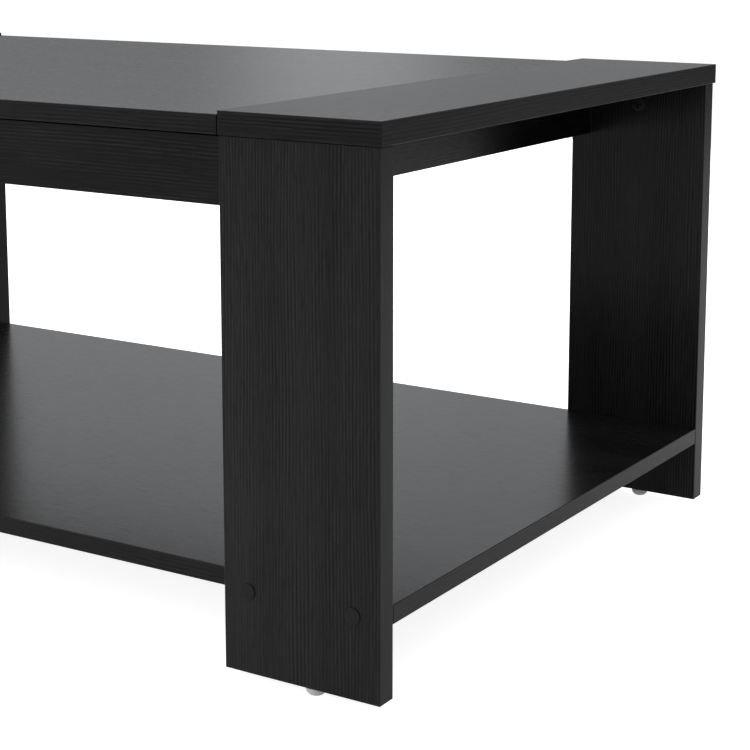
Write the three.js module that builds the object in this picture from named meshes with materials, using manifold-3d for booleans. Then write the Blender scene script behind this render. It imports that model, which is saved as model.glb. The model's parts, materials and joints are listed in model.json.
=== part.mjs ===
// Lift top coffee table, flat-pack construction in coated wood board.
//
// Millimetres. +X runs along the table, +Y to the back, +Z up. The origin is on the floor under the
// middle of the table. Two end caps, each on a front and a back leg, carry a shallow storage box
// between them. The lift top closes the box and rises up and towards the front (-Y), kept level by a
// pair of parallel arms at each end.

import * as THREE from "three";
import { mergeVertices } from "three/addons/utils/BufferGeometryUtils.js";
import Module from "manifold-3d";

const wasm = await Module();
wasm.setup();

// ---------------------------------------------------------------- driving dimensions

const GAP = 0.3; // between pieces that touch or run on each other
const ROUND_STEPS = 12; // sides of every round piece and bore

const OVERALL_LENGTH = 1060;
const OVERALL_WIDTH = 600;
const THICK_BOARD = 18; // legs, end caps and side aprons
const THIN_BOARD = 15; // lift top, shelf, front and back aprons
const BOTTOM_BOARD = 5; // floor of the storage box

const GLIDE_HEIGHT = 7;
const GLIDE_OFFSET = 8; // from the leg's middle, towards the end of the table
const LEG_HEIGHT = 408;
const LEG_WIDTH = 139;
const CAP_END_OVERHANG = 2; // end cap past the legs, along X
const CAP_FACE_OVERHANG = 1.5; // end cap past the legs, along Y

const TOP_STEP = 3; // lift top's upper face below the end caps
const TOP_SIDE_GAP = 1.5; // lift top to end cap
const TOP_DEPTH = 598;

const APRON_HEIGHT = 54; // from the underside of the lift top
const APRON_RECESS = 10; // front apron's face behind the leg's face
const BUMPER_HEIGHT = 1.7; // on the aprons' top edges, under the lift top
const GROOVE_DEPTH = 6;
const GROOVE_RISE = 4; // apron's bottom edge to the groove

const SHELF_TOP = 79;
const SCREW_INSET_INNER = 22.3; // shelf screws, from the leg's inner edge
const SCREW_INSET_OUTER = 23.2; // and from its outer edge
const CAM_DROP = 22.3; // cam discs below the leg's top

const ARM_LENGTH = 200; // between pivots
const ARM_HALF_WIDTH = 9;
const ARM_ANGLE = THREE.MathUtils.degToRad(4); // above horizontal, pointing to the back, when closed
const LIFT_ANGLE = THREE.MathUtils.degToRad(116); // travel of the arms
const PIVOT_SPACING = 130; // front arm to rear arm
const FRONT_PIVOT_Y = -214;
const BASE_PIVOT_Z = 388;

// Layers of a lift mechanism, as distances inwards from the side apron's face: [near, far].
const BASE_PLATE = [1.8, 3.8];
const REAR_ARM = [16.5, 19];
const TOP_PLATE = [22, 24];
const FRONT_ARM = [27, 29.5];
const SPRING_CENTRE = 10;

// ---------------------------------------------------------------- places worked out from them

const LEG_BOTTOM = GLIDE_HEIGHT;
const LEG_TOP = LEG_BOTTOM + LEG_HEIGHT;
const CAP_TOP = LEG_TOP + THICK_BOARD;
const LEG_OUTER_X = OVERALL_LENGTH / 2 - CAP_END_OVERHANG;
const LEG_INNER_X = LEG_OUTER_X - LEG_WIDTH;
const LEG_CENTRE_X = (LEG_OUTER_X + LEG_INNER_X) / 2;
const GLIDE_X = LEG_CENTRE_X + GLIDE_OFFSET;
const LEG_FACE_Y = OVERALL_WIDTH / 2 - CAP_FACE_OVERHANG;
const LEG_BACK_Y = LEG_FACE_Y - THICK_BOARD;
const LEG_CENTRE_Y = (LEG_FACE_Y + LEG_BACK_Y) / 2;
const BOX_END_X = LEG_INNER_X; // side aprons' inner faces, flush with the legs' inner edges
const TOP_UPPER = CAP_TOP - TOP_STEP;
const TOP_UNDER = TOP_UPPER - THIN_BOARD;
const APRON_BOTTOM = TOP_UNDER - APRON_HEIGHT;
const APRON_TOP = TOP_UNDER - BUMPER_HEIGHT - GAP;
const APRON_FACE_Y = LEG_FACE_Y - APRON_RECESS;
const APRON_INNER_Y = APRON_FACE_Y - THIN_BOARD;
const GROOVE_BOTTOM = APRON_BOTTOM + GROOVE_RISE;
const SHELF_BOTTOM = SHELF_TOP - THIN_BOARD;
const SHELF_MIDDLE = (SHELF_TOP + SHELF_BOTTOM) / 2;
const REAR_PIVOT_Y = FRONT_PIVOT_Y + PIVOT_SPACING;
const ARM_REACH_Y = ARM_LENGTH * Math.cos(ARM_ANGLE);
const ARM_REACH_Z = ARM_LENGTH * Math.sin(ARM_ANGLE);
const TOP_PIVOT_Z = BASE_PIVOT_Z + ARM_REACH_Z;

// ---------------------------------------------------------------- materials

function finish(colour, roughness, metalness) {
  return { color: new THREE.Color(...colour), roughness, metalness };
}

const BOARD = finish([0.022, 0.021, 0.021], 0.42, 0);
const BOX_FLOOR = finish([0.03, 0.027, 0.025], 0.7, 0);
const COVER_PLASTIC = finish([0.02, 0.019, 0.019], 0.5, 0);
const GLIDE_PLASTIC = finish([0.38, 0.38, 0.4], 0.35, 0);
const BUMPER_RUBBER = finish([0.03, 0.03, 0.03], 0.8, 0);
const PLATED_STEEL = finish([0.55, 0.55, 0.56], 0.32, 1);
const BLACK_STEEL = finish([0.03, 0.03, 0.032], 0.45, 0.6);
const SPRING_STEEL = finish([0.45, 0.45, 0.46], 0.3, 1);

// ---------------------------------------------------------------- geometry helpers

function piece(name, geometry, surface) {
  const mesh = new THREE.Mesh(geometry, new THREE.MeshStandardMaterial(surface));
  mesh.name = name;
  return mesh;
}

function toSolid(geometry) {
  const bare = geometry.clone();
  bare.deleteAttribute("normal");
  bare.deleteAttribute("uv");
  const merged = mergeVertices(bare);
  const vertProperties = new Float32Array(merged.attributes.position.array);
  const triVerts = new Uint32Array(merged.index.array);
  return new wasm.Manifold(new wasm.Mesh({ numProp: 3, vertProperties, triVerts }));
}

function fromSolid(solid) {
  const mesh = solid.getMesh();
  const geometry = new THREE.BufferGeometry();
  geometry.setAttribute("position", new THREE.BufferAttribute(mesh.vertProperties, 3));
  geometry.setIndex(new THREE.BufferAttribute(mesh.triVerts, 1));
  geometry.computeVertexNormals();
  return geometry;
}

function cut(geometry, ...tools) {
  return fromSolid(tools.reduce((solid, tool) => solid.subtract(toSolid(tool)), toSolid(geometry)));
}

function join(geometry, ...others) {
  return fromSolid(others.reduce((solid, other) => solid.add(toSolid(other)), toSolid(geometry)));
}

// A block between two opposite corners.
function block(low, high) {
  const size = high.map((value, axis) => value - low[axis]);
  const centre = high.map((value, axis) => (value + low[axis]) / 2);
  return new THREE.BoxGeometry(...size).translate(...centre);
}

// A round bar from start to end along one axis ("x", "y" or "z"), centred on the point at.
function bar(axis, at, start, end, radius) {
  const geometry = new THREE.CylinderGeometry(radius, radius, Math.abs(end - start), ROUND_STEPS);
  if (axis === "x") geometry.rotateZ(Math.PI / 2);
  if (axis === "z") geometry.rotateX(Math.PI / 2);
  const centre = new THREE.Vector3(...at);
  centre[axis] = (start + end) / 2;
  return geometry.translate(centre.x, centre.y, centre.z);
}

// A turned piece. The profile's points are [radius, distance along the axis], from axis to axis.
function turned(profile) {
  const points = profile.map(([radius, along]) => new THREE.Vector2(radius, along));
  return new THREE.LatheGeometry(points, ROUND_STEPS);
}

// ---------------------------------------------------------------- legs, caps and shelf

const GLIDE_STEM_RADIUS = 2.5;
const GLIDE_STEM_TOP = 20;
const GLIDE_RADIUS = 8;
const SCREW_SHANK_RADIUS = 3;
const SCREW_HEAD_RADIUS = 5;
const SCREW_HEAD_HEIGHT = 2.6;
const SCREW_LENGTH = 48;
const SOCKET_RADIUS = 2.2;
const SOCKET_DEPTH = 2;
const COVER_RADIUS = 6.4;
const COVER_THICKNESS = 1.1;
const CAM_RADIUS = 7.5;
const CAM_DEPTH = 12.5;
const CAM_SLOT = [1.6, 9]; // width and length of the driver's cross
const CAM_SLOT_DEPTH = 2.5;

function legScrewPlaces(endSign) {
  return [LEG_INNER_X + SCREW_INSET_INNER, LEG_OUTER_X - SCREW_INSET_OUTER].map((x) => endSign * x);
}

function screwBores(x, faceSign) {
  const tip = LEG_FACE_Y - SCREW_LENGTH - 3;
  const headSeat = LEG_FACE_Y - SCREW_HEAD_HEIGHT - GAP;
  const at = [x, 0, SHELF_MIDDLE];
  return [
    bar("y", at, faceSign * tip, faceSign * (LEG_FACE_Y + 1), SCREW_SHANK_RADIUS + GAP),
    bar("y", at, faceSign * headSeat, faceSign * (LEG_FACE_Y + 1), SCREW_HEAD_RADIUS + GAP),
  ];
}

function leg(endSign, faceSign) {
  const xs = [endSign * LEG_INNER_X, endSign * LEG_OUTER_X].sort((a, b) => a - b);
  const ys = [faceSign * LEG_BACK_Y, faceSign * LEG_FACE_Y].sort((a, b) => a - b);
  const slab = block([xs[0], ys[0], LEG_BOTTOM], [xs[1], ys[1], LEG_TOP - GAP]);
  const camAt = [endSign * LEG_CENTRE_X, 0, LEG_TOP - CAM_DROP];
  const glideAt = [endSign * GLIDE_X, faceSign * LEG_CENTRE_Y, 0];
  const camBottom = LEG_BACK_Y + CAM_DEPTH + GAP;
  return cut(
    slab,
    bar("z", glideAt, LEG_BOTTOM - 1, GLIDE_STEM_TOP + 1, GLIDE_STEM_RADIUS + GAP),
    bar("y", camAt, faceSign * (LEG_BACK_Y - 1), faceSign * camBottom, CAM_RADIUS + GAP),
    ...legScrewPlaces(endSign).flatMap((x) => screwBores(x, faceSign)),
  );
}

// A nailed-in glide: low dome, flat where it stands, with its stem up the leg.
function glide() {
  const shoulder = LEG_BOTTOM - GAP;
  return turned([
    [0, 0],
    [3.2, 0],
    [5.8, 1.4],
    [7.4, 3.5],
    [GLIDE_RADIUS, 5.6],
    [GLIDE_RADIUS, shoulder],
    [GLIDE_STEM_RADIUS, shoulder],
    [GLIDE_STEM_RADIUS, GLIDE_STEM_TOP - 2],
    [0, GLIDE_STEM_TOP],
  ]).rotateX(Math.PI / 2);
}

// The shelf screw lies along +Y of its own frame, its head's face at 0 and its tip at -SCREW_LENGTH.
function shelfScrew() {
  return turned([
    [0, -SCREW_LENGTH],
    [SCREW_SHANK_RADIUS - 1, -SCREW_LENGTH + 3],
    [SCREW_SHANK_RADIUS, -SCREW_LENGTH + 6],
    [SCREW_SHANK_RADIUS, -SCREW_HEAD_HEIGHT],
    [SCREW_HEAD_RADIUS, -SCREW_HEAD_HEIGHT],
    [SCREW_HEAD_RADIUS, -GAP],
    [SOCKET_RADIUS, -GAP],
    [SOCKET_RADIUS, -SOCKET_DEPTH],
    [0, -SOCKET_DEPTH],
  ]);
}

function screwCover() {
  return turned([
    [0, 0],
    [COVER_RADIUS, 0],
    [COVER_RADIUS, COVER_THICKNESS * 0.5],
    [COVER_RADIUS - 0.8, COVER_THICKNESS],
    [0, COVER_THICKNESS],
  ]);
}

function camDisc() {
  const [width, length] = CAM_SLOT;
  const disc = new THREE.CylinderGeometry(CAM_RADIUS, CAM_RADIUS, CAM_DEPTH, ROUND_STEPS);
  const floor = CAM_DEPTH / 2 - CAM_SLOT_DEPTH;
  const mouth = CAM_DEPTH / 2 + 1;
  return cut(
    disc,
    block([-length / 2, floor, -width / 2], [length / 2, mouth, width / 2]),
    block([-width / 2, floor, -length / 2], [width / 2, mouth, length / 2]),
  );
}

function endCap(endSign) {
  const xs = [endSign * LEG_INNER_X, endSign * (OVERALL_LENGTH / 2)].sort((a, b) => a - b);
  return block([xs[0], -OVERALL_WIDTH / 2, LEG_TOP], [xs[1], OVERALL_WIDTH / 2, CAP_TOP]);
}

function shelf() {
  const halfDepth = LEG_BACK_Y - GAP;
  const slab = block([-LEG_OUTER_X, -halfDepth, SHELF_BOTTOM], [LEG_OUTER_X, halfDepth, SHELF_TOP]);
  const bores = [-1, 1].flatMap((endSign) =>
    legScrewPlaces(endSign).flatMap((x) => [screwBores(x, -1)[0], screwBores(x, 1)[0]]),
  );
  return cut(slab, ...bores);
}

// ---------------------------------------------------------------- storage box

// The groove that holds the box floor, as one block that every apron is cut with.
function boxFloorGroove() {
  const x = BOX_END_X + GROOVE_DEPTH;
  const y = APRON_INNER_Y + GROOVE_DEPTH;
  const top = GROOVE_BOTTOM + BOTTOM_BOARD + 2 * GAP;
  return block([-x, -y, GROOVE_BOTTOM], [x, y, top]);
}

// A front (-1) or back (+1) apron, butted between the side aprons' inner faces.
function longApron(faceSign) {
  const ys = [faceSign * APRON_INNER_Y, faceSign * APRON_FACE_Y].sort((a, b) => a - b);
  const halfLength = BOX_END_X - GAP;
  const slab = block([-halfLength, ys[0], APRON_BOTTOM], [halfLength, ys[1], APRON_TOP]);
  return cut(slab, boxFloorGroove());
}

// A left (-1) or right (+1) side apron, under the end cap, between the front and back legs.
function sideApron(endSign) {
  const xs = [endSign * BOX_END_X, endSign * (BOX_END_X + THICK_BOARD)].sort((a, b) => a - b);
  const halfDepth = LEG_BACK_Y - GAP;
  const slab = block([xs[0], -halfDepth, APRON_BOTTOM], [xs[1], halfDepth, LEG_TOP - GAP]);
  return cut(slab, boxFloorGroove());
}

function boxFloor() {
  const x = BOX_END_X + GROOVE_DEPTH - GAP;
  const y = APRON_INNER_Y + GROOVE_DEPTH - GAP;
  const bottom = GROOVE_BOTTOM + GAP;
  return block([-x, -y, bottom], [x, y, bottom + BOTTOM_BOARD]);
}

function liftTop() {
  const x = LEG_INNER_X - TOP_SIDE_GAP;
  return block([-x, -TOP_DEPTH / 2, TOP_UNDER], [x, TOP_DEPTH / 2, TOP_UPPER]);
}

const BUMPER_RADIUS = 5;
const BUMPER_INSET = 60; // from the side apron's face

function bumper() {
  return turned([
    [0, 0],
    [BUMPER_RADIUS, 0],
    [BUMPER_RADIUS - 0.6, BUMPER_HEIGHT - GAP],
    [0, BUMPER_HEIGHT - GAP],
  ]).rotateX(Math.PI / 2);
}

// ---------------------------------------------------------------- lift mechanisms

const PIN_RADIUS = 4;
const PIN_HOLE_RADIUS = 4.5;
const PIN_SHOULDER_RADIUS = 6;
const RIVET_HEAD_RADIUS = 7;
const RIVET_HEAD_HEIGHT = 1.5;
const STUD_RADIUS = 3;
const LEVER_RADIUS = 26; // rear arm's pivot to its spring stud
const LEVER_LOBE_RADIUS = 6;
const SPRING_RADIUS = 5.5;
const SPRING_LENGTH = 162; // between its studs, stretched, with the top closed
const SPRING_COILS = 16;
const STOP_REACH = 20; // front arm's top pivot to the stop stud, along the open arm

// The lever's stud is at one height with the top closed and open, half the travel to each side of vertical.
const LEVER_ANGLE = (Math.PI - LIFT_ANGLE) / 2;
const LEVER_Y = LEVER_RADIUS * Math.cos(LEVER_ANGLE);
const LEVER_Z = LEVER_RADIUS * Math.sin(LEVER_ANGLE);
const SPRING_ANCHOR_Y = REAR_PIVOT_Y + LEVER_Y - SPRING_LENGTH;
const SPRING_Z = BASE_PIVOT_Z + LEVER_Z;

// A flat plate in the YZ plane. The outline is drawn with Y to the right and Z up.
function plate(side, outline, [near, far]) {
  const settings = { depth: far - near, bevelEnabled: false, curveSegments: ROUND_STEPS / 2 };
  const toYZ = new THREE.Matrix4().makeBasis(
    new THREE.Vector3(0, 1, 0),
    new THREE.Vector3(0, 0, 1),
    new THREE.Vector3(1, 0, 0),
  );
  return new THREE.ExtrudeGeometry(outline, settings)
    .applyMatrix4(toYZ)
    .translate(side > 0 ? -far : near, 0, 0);
}

function hole(y, z, radius) {
  return new THREE.Path().absarc(y, z, radius, 0, 2 * Math.PI, true);
}

// A round bar across the layers of a mechanism, at y and z.
function stud(side, y, z, near, far, radius) {
  return bar("x", [0, y, z], -side * near, -side * far, radius);
}

function armOutline() {
  const outline = new THREE.Shape();
  outline.absarc(0, 0, ARM_HALF_WIDTH, Math.PI / 2, (3 * Math.PI) / 2, false);
  outline.absarc(ARM_LENGTH, 0, ARM_HALF_WIDTH, -Math.PI / 2, Math.PI / 2, false);
  outline.holes.push(hole(0, 0, PIN_HOLE_RADIUS), hole(ARM_LENGTH, 0, PIN_HOLE_RADIUS));
  return outline;
}

// The lobe on the rear arm that carries the spring's stud, in the arm's own frame.
function leverLobe() {
  const angle = LEVER_ANGLE - ARM_ANGLE;
  const y = LEVER_RADIUS * Math.cos(angle);
  const z = LEVER_RADIUS * Math.sin(angle);
  const outline = new THREE.Shape();
  outline.moveTo(y + 2 * LEVER_LOBE_RADIUS + 6, 0);
  outline.absarc(y, z, LEVER_LOBE_RADIUS, angle - Math.PI / 6, Math.PI, false);
  outline.lineTo(ARM_HALF_WIDTH - 2, ARM_HALF_WIDTH - 3);
  outline.lineTo(ARM_HALF_WIDTH - 2, 0);
  return { outline, y, z };
}

function frontArm(side) {
  return plate(side, armOutline(), FRONT_ARM);
}

function rearArm(side) {
  const lobe = leverLobe();
  return join(
    plate(side, armOutline(), REAR_ARM),
    plate(side, lobe.outline, REAR_ARM),
    stud(side, lobe.y, lobe.z, BASE_PLATE[1] + 1, REAR_ARM[0] + 1, STUD_RADIUS),
  );
}

// Screwed to the side apron: a wall with both base pivots and the spring's anchor, and a foot.
function baseBracket(side) {
  const front = SPRING_ANCHOR_Y - 14;
  const back = REAR_PIVOT_Y + 22;
  const bottom = GROOVE_BOTTOM + BOTTOM_BOARD + 1.6;
  const top = TOP_UNDER - 6;
  const outline = new THREE.Shape();
  outline.moveTo(front, bottom);
  outline.lineTo(back, bottom);
  outline.lineTo(back, top - 8);
  outline.lineTo(back - 8, top);
  outline.lineTo(front + 8, top);
  outline.lineTo(front, top - 8);
  outline.holes.push(hole(FRONT_PIVOT_Y, BASE_PIVOT_Z, PIN_HOLE_RADIUS));
  outline.holes.push(hole(REAR_PIVOT_Y, BASE_PIVOT_Z, PIN_HOLE_RADIUS));
  const [near, far] = BASE_PLATE;
  const foot = [-side * near, -side * 20].sort((a, b) => a - b);
  return join(
    plate(side, outline, BASE_PLATE),
    block([foot[0], front, bottom], [foot[1], back, bottom + 2]),
    stud(side, SPRING_ANCHOR_Y, SPRING_Z, far - 1, SPRING_CENTRE + SPRING_RADIUS, STUD_RADIUS),
  );
}

// Screwed under the lift top: a hanging wall with both top pivots and the open stop, and a flange.
function topBracket(side) {
  const frontPivot = FRONT_PIVOT_Y + ARM_REACH_Y;
  const rearPivot = REAR_PIVOT_Y + ARM_REACH_Y;
  const front = frontPivot - 13;
  const back = rearPivot + 13;
  const bottom = TOP_PIVOT_Z - 17;
  const top = TOP_UNDER - GAP;
  const outline = new THREE.Shape();
  outline.moveTo(front + 6, bottom);
  outline.lineTo(frontPivot + 40, bottom);
  outline.lineTo(frontPivot + 52, bottom + 6);
  outline.lineTo(back - 6, bottom + 6);
  outline.lineTo(back, bottom + 12);
  outline.lineTo(back, top);
  outline.lineTo(front, top);
  outline.lineTo(front, bottom + 6);
  outline.holes.push(hole(frontPivot, TOP_PIVOT_Z, PIN_HOLE_RADIUS));
  outline.holes.push(hole(rearPivot, TOP_PIVOT_Z, PIN_HOLE_RADIUS));
  const openAngle = ARM_ANGLE + LIFT_ANGLE;
  const offset = ARM_HALF_WIDTH + STUD_RADIUS + GAP;
  const stopY = frontPivot - STOP_REACH * Math.cos(openAngle) + offset * Math.sin(openAngle);
  const stopZ = TOP_PIVOT_Z - STOP_REACH * Math.sin(openAngle) - offset * Math.cos(openAngle);
  const flange = [-side * TOP_PLATE[0], -side * (TOP_PLATE[0] + 24)].sort((a, b) => a - b);
  return join(
    plate(side, outline, TOP_PLATE),
    block([flange[0], front, top - 2], [flange[1], back, top]),
    stud(side, stopY, stopZ, TOP_PLATE[1] - 1, FRONT_ARM[1] + 1, STUD_RADIUS),
  );
}

// A shouldered pivot pin, turned about the layers' axis, with distances from the side apron's face.
function pivotPin(side, profile) {
  return turned(profile).rotateZ((side * Math.PI) / 2);
}

// A base pivot: staked in the base bracket, a long shoulder, and a rivet head past the arm.
function basePin(side, [armNear, armFar]) {
  const head = armFar + GAP;
  return pivotPin(side, [
    [0, BASE_PLATE[0] - 1],
    [PIN_RADIUS, BASE_PLATE[0] - 1],
    [PIN_RADIUS, BASE_PLATE[1] + GAP],
    [PIN_SHOULDER_RADIUS, BASE_PLATE[1] + GAP],
    [PIN_SHOULDER_RADIUS, armNear - GAP],
    [PIN_RADIUS, armNear - GAP],
    [PIN_RADIUS, head],
    [RIVET_HEAD_RADIUS, head],
    [RIVET_HEAD_RADIUS - 1, head + RIVET_HEAD_HEIGHT],
    [0, head + RIVET_HEAD_HEIGHT],
  ]);
}

// A top pivot: a head on each side and a shoulder between the nearer and the farther plate.
function topPin(side, nearer, farther) {
  const start = nearer[0] - GAP;
  const end = farther[1] + GAP;
  return pivotPin(side, [
    [0, start - RIVET_HEAD_HEIGHT],
    [RIVET_HEAD_RADIUS - 1, start - RIVET_HEAD_HEIGHT],
    [RIVET_HEAD_RADIUS, start],
    [PIN_RADIUS, start],
    [PIN_RADIUS, nearer[1] + GAP],
    [PIN_SHOULDER_RADIUS, nearer[1] + GAP],
    [PIN_SHOULDER_RADIUS, farther[0] - GAP],
    [PIN_RADIUS, farther[0] - GAP],
    [PIN_RADIUS, end],
    [RIVET_HEAD_RADIUS, end],
    [RIVET_HEAD_RADIUS - 1, end + RIVET_HEAD_HEIGHT],
    [0, end + RIVET_HEAD_HEIGHT],
  ]);
}

// The outer shape of the coil between the two studs, as a row of rounded ridges.
function liftSpring() {
  const start = STUD_RADIUS + 0.5;
  const length = SPRING_LENGTH - 2 * start;
  const pitch = length / SPRING_COILS;
  const valley = SPRING_RADIUS - 0.9;
  const profile = [[0, start], [valley, start]];
  for (let coil = 0; coil < SPRING_COILS; coil += 1) {
    const begin = start + coil * pitch;
    profile.push([SPRING_RADIUS, begin + pitch / 2], [valley, begin + pitch]);
  }
  profile.push([0, start + length]);
  return turned(profile);
}

function mechanism(side, end) {
  const group = new THREE.Group();
  group.position.x = side * BOX_END_X;
  const add = (name, geometry, surface, y = 0, z = 0) => {
    const mesh = piece(`${name}_${end}`, geometry, surface);
    mesh.position.set(0, y, z);
    group.add(mesh);
    return mesh;
  };
  add("base_bracket", baseBracket(side), BLACK_STEEL);
  add("top_bracket", topBracket(side), BLACK_STEEL);
  add("front_arm", frontArm(side), BLACK_STEEL, FRONT_PIVOT_Y, BASE_PIVOT_Z).rotation.x = ARM_ANGLE;
  add("rear_arm", rearArm(side), BLACK_STEEL, REAR_PIVOT_Y, BASE_PIVOT_Z).rotation.x = ARM_ANGLE;
  for (const [place, y, arm] of [["front", FRONT_PIVOT_Y, FRONT_ARM], ["rear", REAR_PIVOT_Y, REAR_ARM]]) {
    const layers = [arm, TOP_PLATE].sort((a, b) => a[0] - b[0]);
    add(`${place}_base_pin`, basePin(side, arm), PLATED_STEEL, y, BASE_PIVOT_Z);
    add(`${place}_top_pin`, topPin(side, ...layers), PLATED_STEEL, y + ARM_REACH_Y, TOP_PIVOT_Z);
  }
  const spring = add("lift_spring", liftSpring(), SPRING_STEEL, SPRING_ANCHOR_Y, SPRING_Z);
  spring.position.x = -side * SPRING_CENTRE;
  return group;
}

// ---------------------------------------------------------------- the table

const table = new THREE.Group();
table.add(piece("lift_top", liftTop(), BOARD));
table.add(piece("lower_shelf", shelf(), BOARD));
table.add(piece("front_apron", longApron(-1), BOARD));
table.add(piece("back_apron", longApron(1), BOARD));
table.add(piece("box_floor", boxFloor(), BOX_FLOOR));

for (const [end, endSign] of [["left", -1], ["right", 1]]) {
  table.add(piece(`end_cap_${end}`, endCap(endSign), BOARD));
  table.add(piece(`side_apron_${end}`, sideApron(endSign), BOARD));
  table.add(mechanism(endSign, end));

  for (const [face, faceSign] of [["front", -1], ["back", 1]]) {
    const corner = `${face}_${end}`;
    const outwards = faceSign > 0 ? 0 : Math.PI;
    table.add(piece(`leg_${corner}`, leg(endSign, faceSign), BOARD));

    const foot = piece(`glide_${corner}`, glide(), GLIDE_PLASTIC);
    foot.position.set(endSign * GLIDE_X, faceSign * LEG_CENTRE_Y, 0);
    table.add(foot);

    const cam = piece(`cam_${corner}`, camDisc(), BLACK_STEEL);
    const camY = LEG_BACK_Y + CAM_DEPTH / 2;
    cam.position.set(endSign * LEG_CENTRE_X, faceSign * camY, LEG_TOP - CAM_DROP);
    cam.rotation.x = Math.PI - outwards;
    table.add(cam);

    const pad = piece(`bumper_${corner}`, bumper(), BUMPER_RUBBER);
    const padY = faceSign * ((APRON_INNER_Y + APRON_FACE_Y) / 2);
    pad.position.set(endSign * (BOX_END_X - BUMPER_INSET), padY, APRON_TOP + GAP);
    table.add(pad);

    legScrewPlaces(endSign).forEach((x, index) => {
      const number = index + 1;
      const screw = piece(`shelf_screw_${corner}_${number}`, shelfScrew(), PLATED_STEEL);
      screw.position.set(x, faceSign * LEG_FACE_Y, SHELF_MIDDLE);
      screw.rotation.x = outwards;
      table.add(screw);

      const cover = piece(`screw_cover_${corner}_${number}`, screwCover(), COVER_PLASTIC);
      cover.position.set(x, faceSign * (LEG_FACE_Y + GAP), SHELF_MIDDLE);
      cover.rotation.x = outwards;
      table.add(cover);
    });
  }
}

export default table;
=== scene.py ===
"""Looks of the lift top coffee table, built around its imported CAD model.

Metres, in the CAD frame: +X along the table, +Y to the back, +Z up. Places and outer sizes come from
the boxes of the CAD nodes. The first part holds the materials, then come the boards, the turned
hardware and the lift mechanisms, and last the studio and the camera.
"""

import json
import math

import bmesh
import bpy
from mathutils import Matrix, Vector

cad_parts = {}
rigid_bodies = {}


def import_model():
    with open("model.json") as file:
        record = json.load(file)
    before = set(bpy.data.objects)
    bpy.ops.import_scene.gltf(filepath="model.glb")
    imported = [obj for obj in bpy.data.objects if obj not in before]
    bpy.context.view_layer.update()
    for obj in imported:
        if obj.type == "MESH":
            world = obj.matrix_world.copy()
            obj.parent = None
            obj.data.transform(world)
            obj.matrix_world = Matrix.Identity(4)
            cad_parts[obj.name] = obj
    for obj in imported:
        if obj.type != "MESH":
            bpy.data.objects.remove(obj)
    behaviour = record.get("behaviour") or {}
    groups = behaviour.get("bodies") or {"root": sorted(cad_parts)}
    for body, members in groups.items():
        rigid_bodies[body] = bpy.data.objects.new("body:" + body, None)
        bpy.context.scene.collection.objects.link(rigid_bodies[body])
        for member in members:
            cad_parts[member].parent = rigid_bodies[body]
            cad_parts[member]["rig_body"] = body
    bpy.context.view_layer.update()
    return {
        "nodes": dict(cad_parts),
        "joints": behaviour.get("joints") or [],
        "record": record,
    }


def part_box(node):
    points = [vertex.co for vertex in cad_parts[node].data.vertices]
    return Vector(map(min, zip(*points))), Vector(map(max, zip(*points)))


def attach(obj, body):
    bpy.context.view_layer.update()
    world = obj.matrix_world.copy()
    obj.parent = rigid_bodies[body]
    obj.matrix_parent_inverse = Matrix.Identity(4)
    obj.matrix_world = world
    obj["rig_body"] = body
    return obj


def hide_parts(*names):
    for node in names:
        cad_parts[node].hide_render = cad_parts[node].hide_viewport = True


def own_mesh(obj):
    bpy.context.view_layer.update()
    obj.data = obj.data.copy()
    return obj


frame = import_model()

MM = 0.001
GAP = 0.3 * MM  # between pieces that fit into one another
ENDS = {"left": -1, "right": 1}
FACES = {"front": -1, "back": 1}
AXES = (Vector((1, 0, 0)), Vector((0, 1, 0)), Vector((0, 0, 1)))
X, Y, Z = 0, 1, 2
FACE_VALUES = ("tone", "dull", "edge", "edge_band")  # what every face of a board tells its foil
SMOOTH_FLAT, SMOOTH_TURNED, SMOOTH_WIRE = 40, 35, 50  # degrees: flatter edges are shaded smooth


# ---------------------------------------------------------------- material helpers


class Nodes:
    """A node tree under construction: short calls for its nodes and links."""

    def __init__(self, tree):
        self.tree = tree

    def put(self, node, socket, value):
        """Links or sets an input, named or numbered."""
        if isinstance(value, bpy.types.NodeSocket):
            self.tree.links.new(value, node.inputs[socket])
        elif isinstance(value, tuple) and len(node.inputs[socket].default_value) == 4:
            node.inputs[socket].default_value = (*value, 1.0)
        else:
            node.inputs[socket].default_value = value

    def node(self, kind, inputs, **settings):
        node = self.tree.nodes.new(kind)
        for name, value in settings.items():
            setattr(node, name, value)
        for socket, value in inputs.items():
            self.put(node, socket, value)
        return node

    def ramp(self, value, low, high, to_low=0.0, to_high=1.0, **settings):
        """Takes the range low to high over to to_low to to_high, and holds what lies outside it."""
        inputs = {"Value": value, "From Min": low, "From Max": high}
        inputs.update({"To Min": to_low, "To Max": to_high})
        return self.node("ShaderNodeMapRange", inputs, clamp=True, **settings).outputs[0]

    def maths(self, operation, first, second):
        return self.node("ShaderNodeMath", {0: first, 1: second}, operation=operation).outputs[0]

    def weighted(self, *pairs):
        """The sum of each value times its weight."""
        terms = [self.maths("MULTIPLY", value, weight) for value, weight in pairs]
        total = terms[0]
        for term in terms[1:]:
            total = self.maths("ADD", total, term)
        return total


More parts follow.
